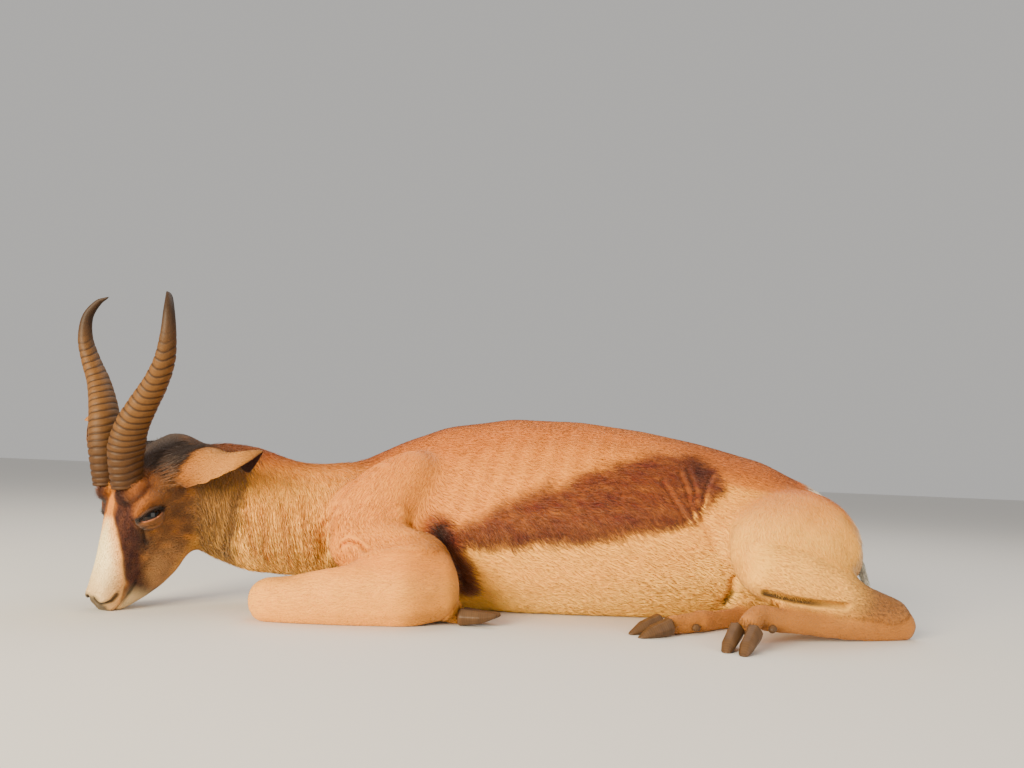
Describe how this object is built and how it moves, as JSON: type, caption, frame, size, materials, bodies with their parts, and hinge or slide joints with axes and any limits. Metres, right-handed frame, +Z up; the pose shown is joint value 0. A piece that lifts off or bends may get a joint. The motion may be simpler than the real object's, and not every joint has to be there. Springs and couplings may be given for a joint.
{
  "type": "life-size springbok model",
  "caption": "Life-size springbok ram lying on its belly, legs folded, head turned left with the nose on the floor, ringed lyre-shaped horns",
  "frame": {"origin": "the point of the floor under the middle of the trunk, on the belly's flat", "axes": "+X from the head end to the tail, +Y to the animal's right, +Z up from the floor"},
  "size_m": [1.1608, 0.4418, 0.399],
  "materials": {
    "coat": "short, flat, copper-tan hair with a dark red-brown flank band, a tan belly and a white blaze",
    "tail_hair": "thin white tail hair with a dark tip",
    "horn": "grey-brown ringed horn, smooth and darker at the tips",
    "claw": "dark grey-brown hoof horn with fine growth lines",
    "eye": "moist dark brown eye"
  },
  "bodies": {
    "root": {"left_eye": "eye", "left_horn": "horn", "right_eye": "eye", "right_horn": "horn", "head": "coat", "left_ear": "coat", "right_ear": "coat", "left_front_outer_claw": "claw", "left_front_outer_dewclaw": "claw", "left_front_inner_claw": "claw", "left_front_inner_dewclaw": "claw", "right_front_outer_claw": "claw", "right_front_outer_dewclaw": "claw", "right_front_inner_claw": "claw", "right_front_inner_dewclaw": "claw", "left_hind_outer_claw": "claw", "left_hind_outer_dewclaw": "claw", "left_hind_inner_claw": "claw", "left_hind_inner_dewclaw": "claw", "right_hind_outer_claw": "claw", "right_hind_outer_dewclaw": "claw", "right_hind_inner_claw": "claw", "right_hind_inner_dewclaw": "claw", "right_hind_pastern": "coat", "right_hind_cannon": "coat", "right_gaskin": "coat", "right_thigh": "coat", "left_hind_pastern": "coat", "left_hind_cannon": "coat", "left_gaskin": "coat", "left_thigh": "coat", "right_front_pastern": "coat", "right_front_cannon": "coat", "right_forearm": "coat", "right_upper_arm": "coat", "right_shoulder": "coat", "left_front_pastern": "coat", "left_front_cannon": "coat", "left_forearm": "coat", "left_upper_arm": "coat", "left_shoulder": "coat", "tail": "tail_hair", "trunk": "coat", "neck": "coat"}
  },
  "joints": []
}
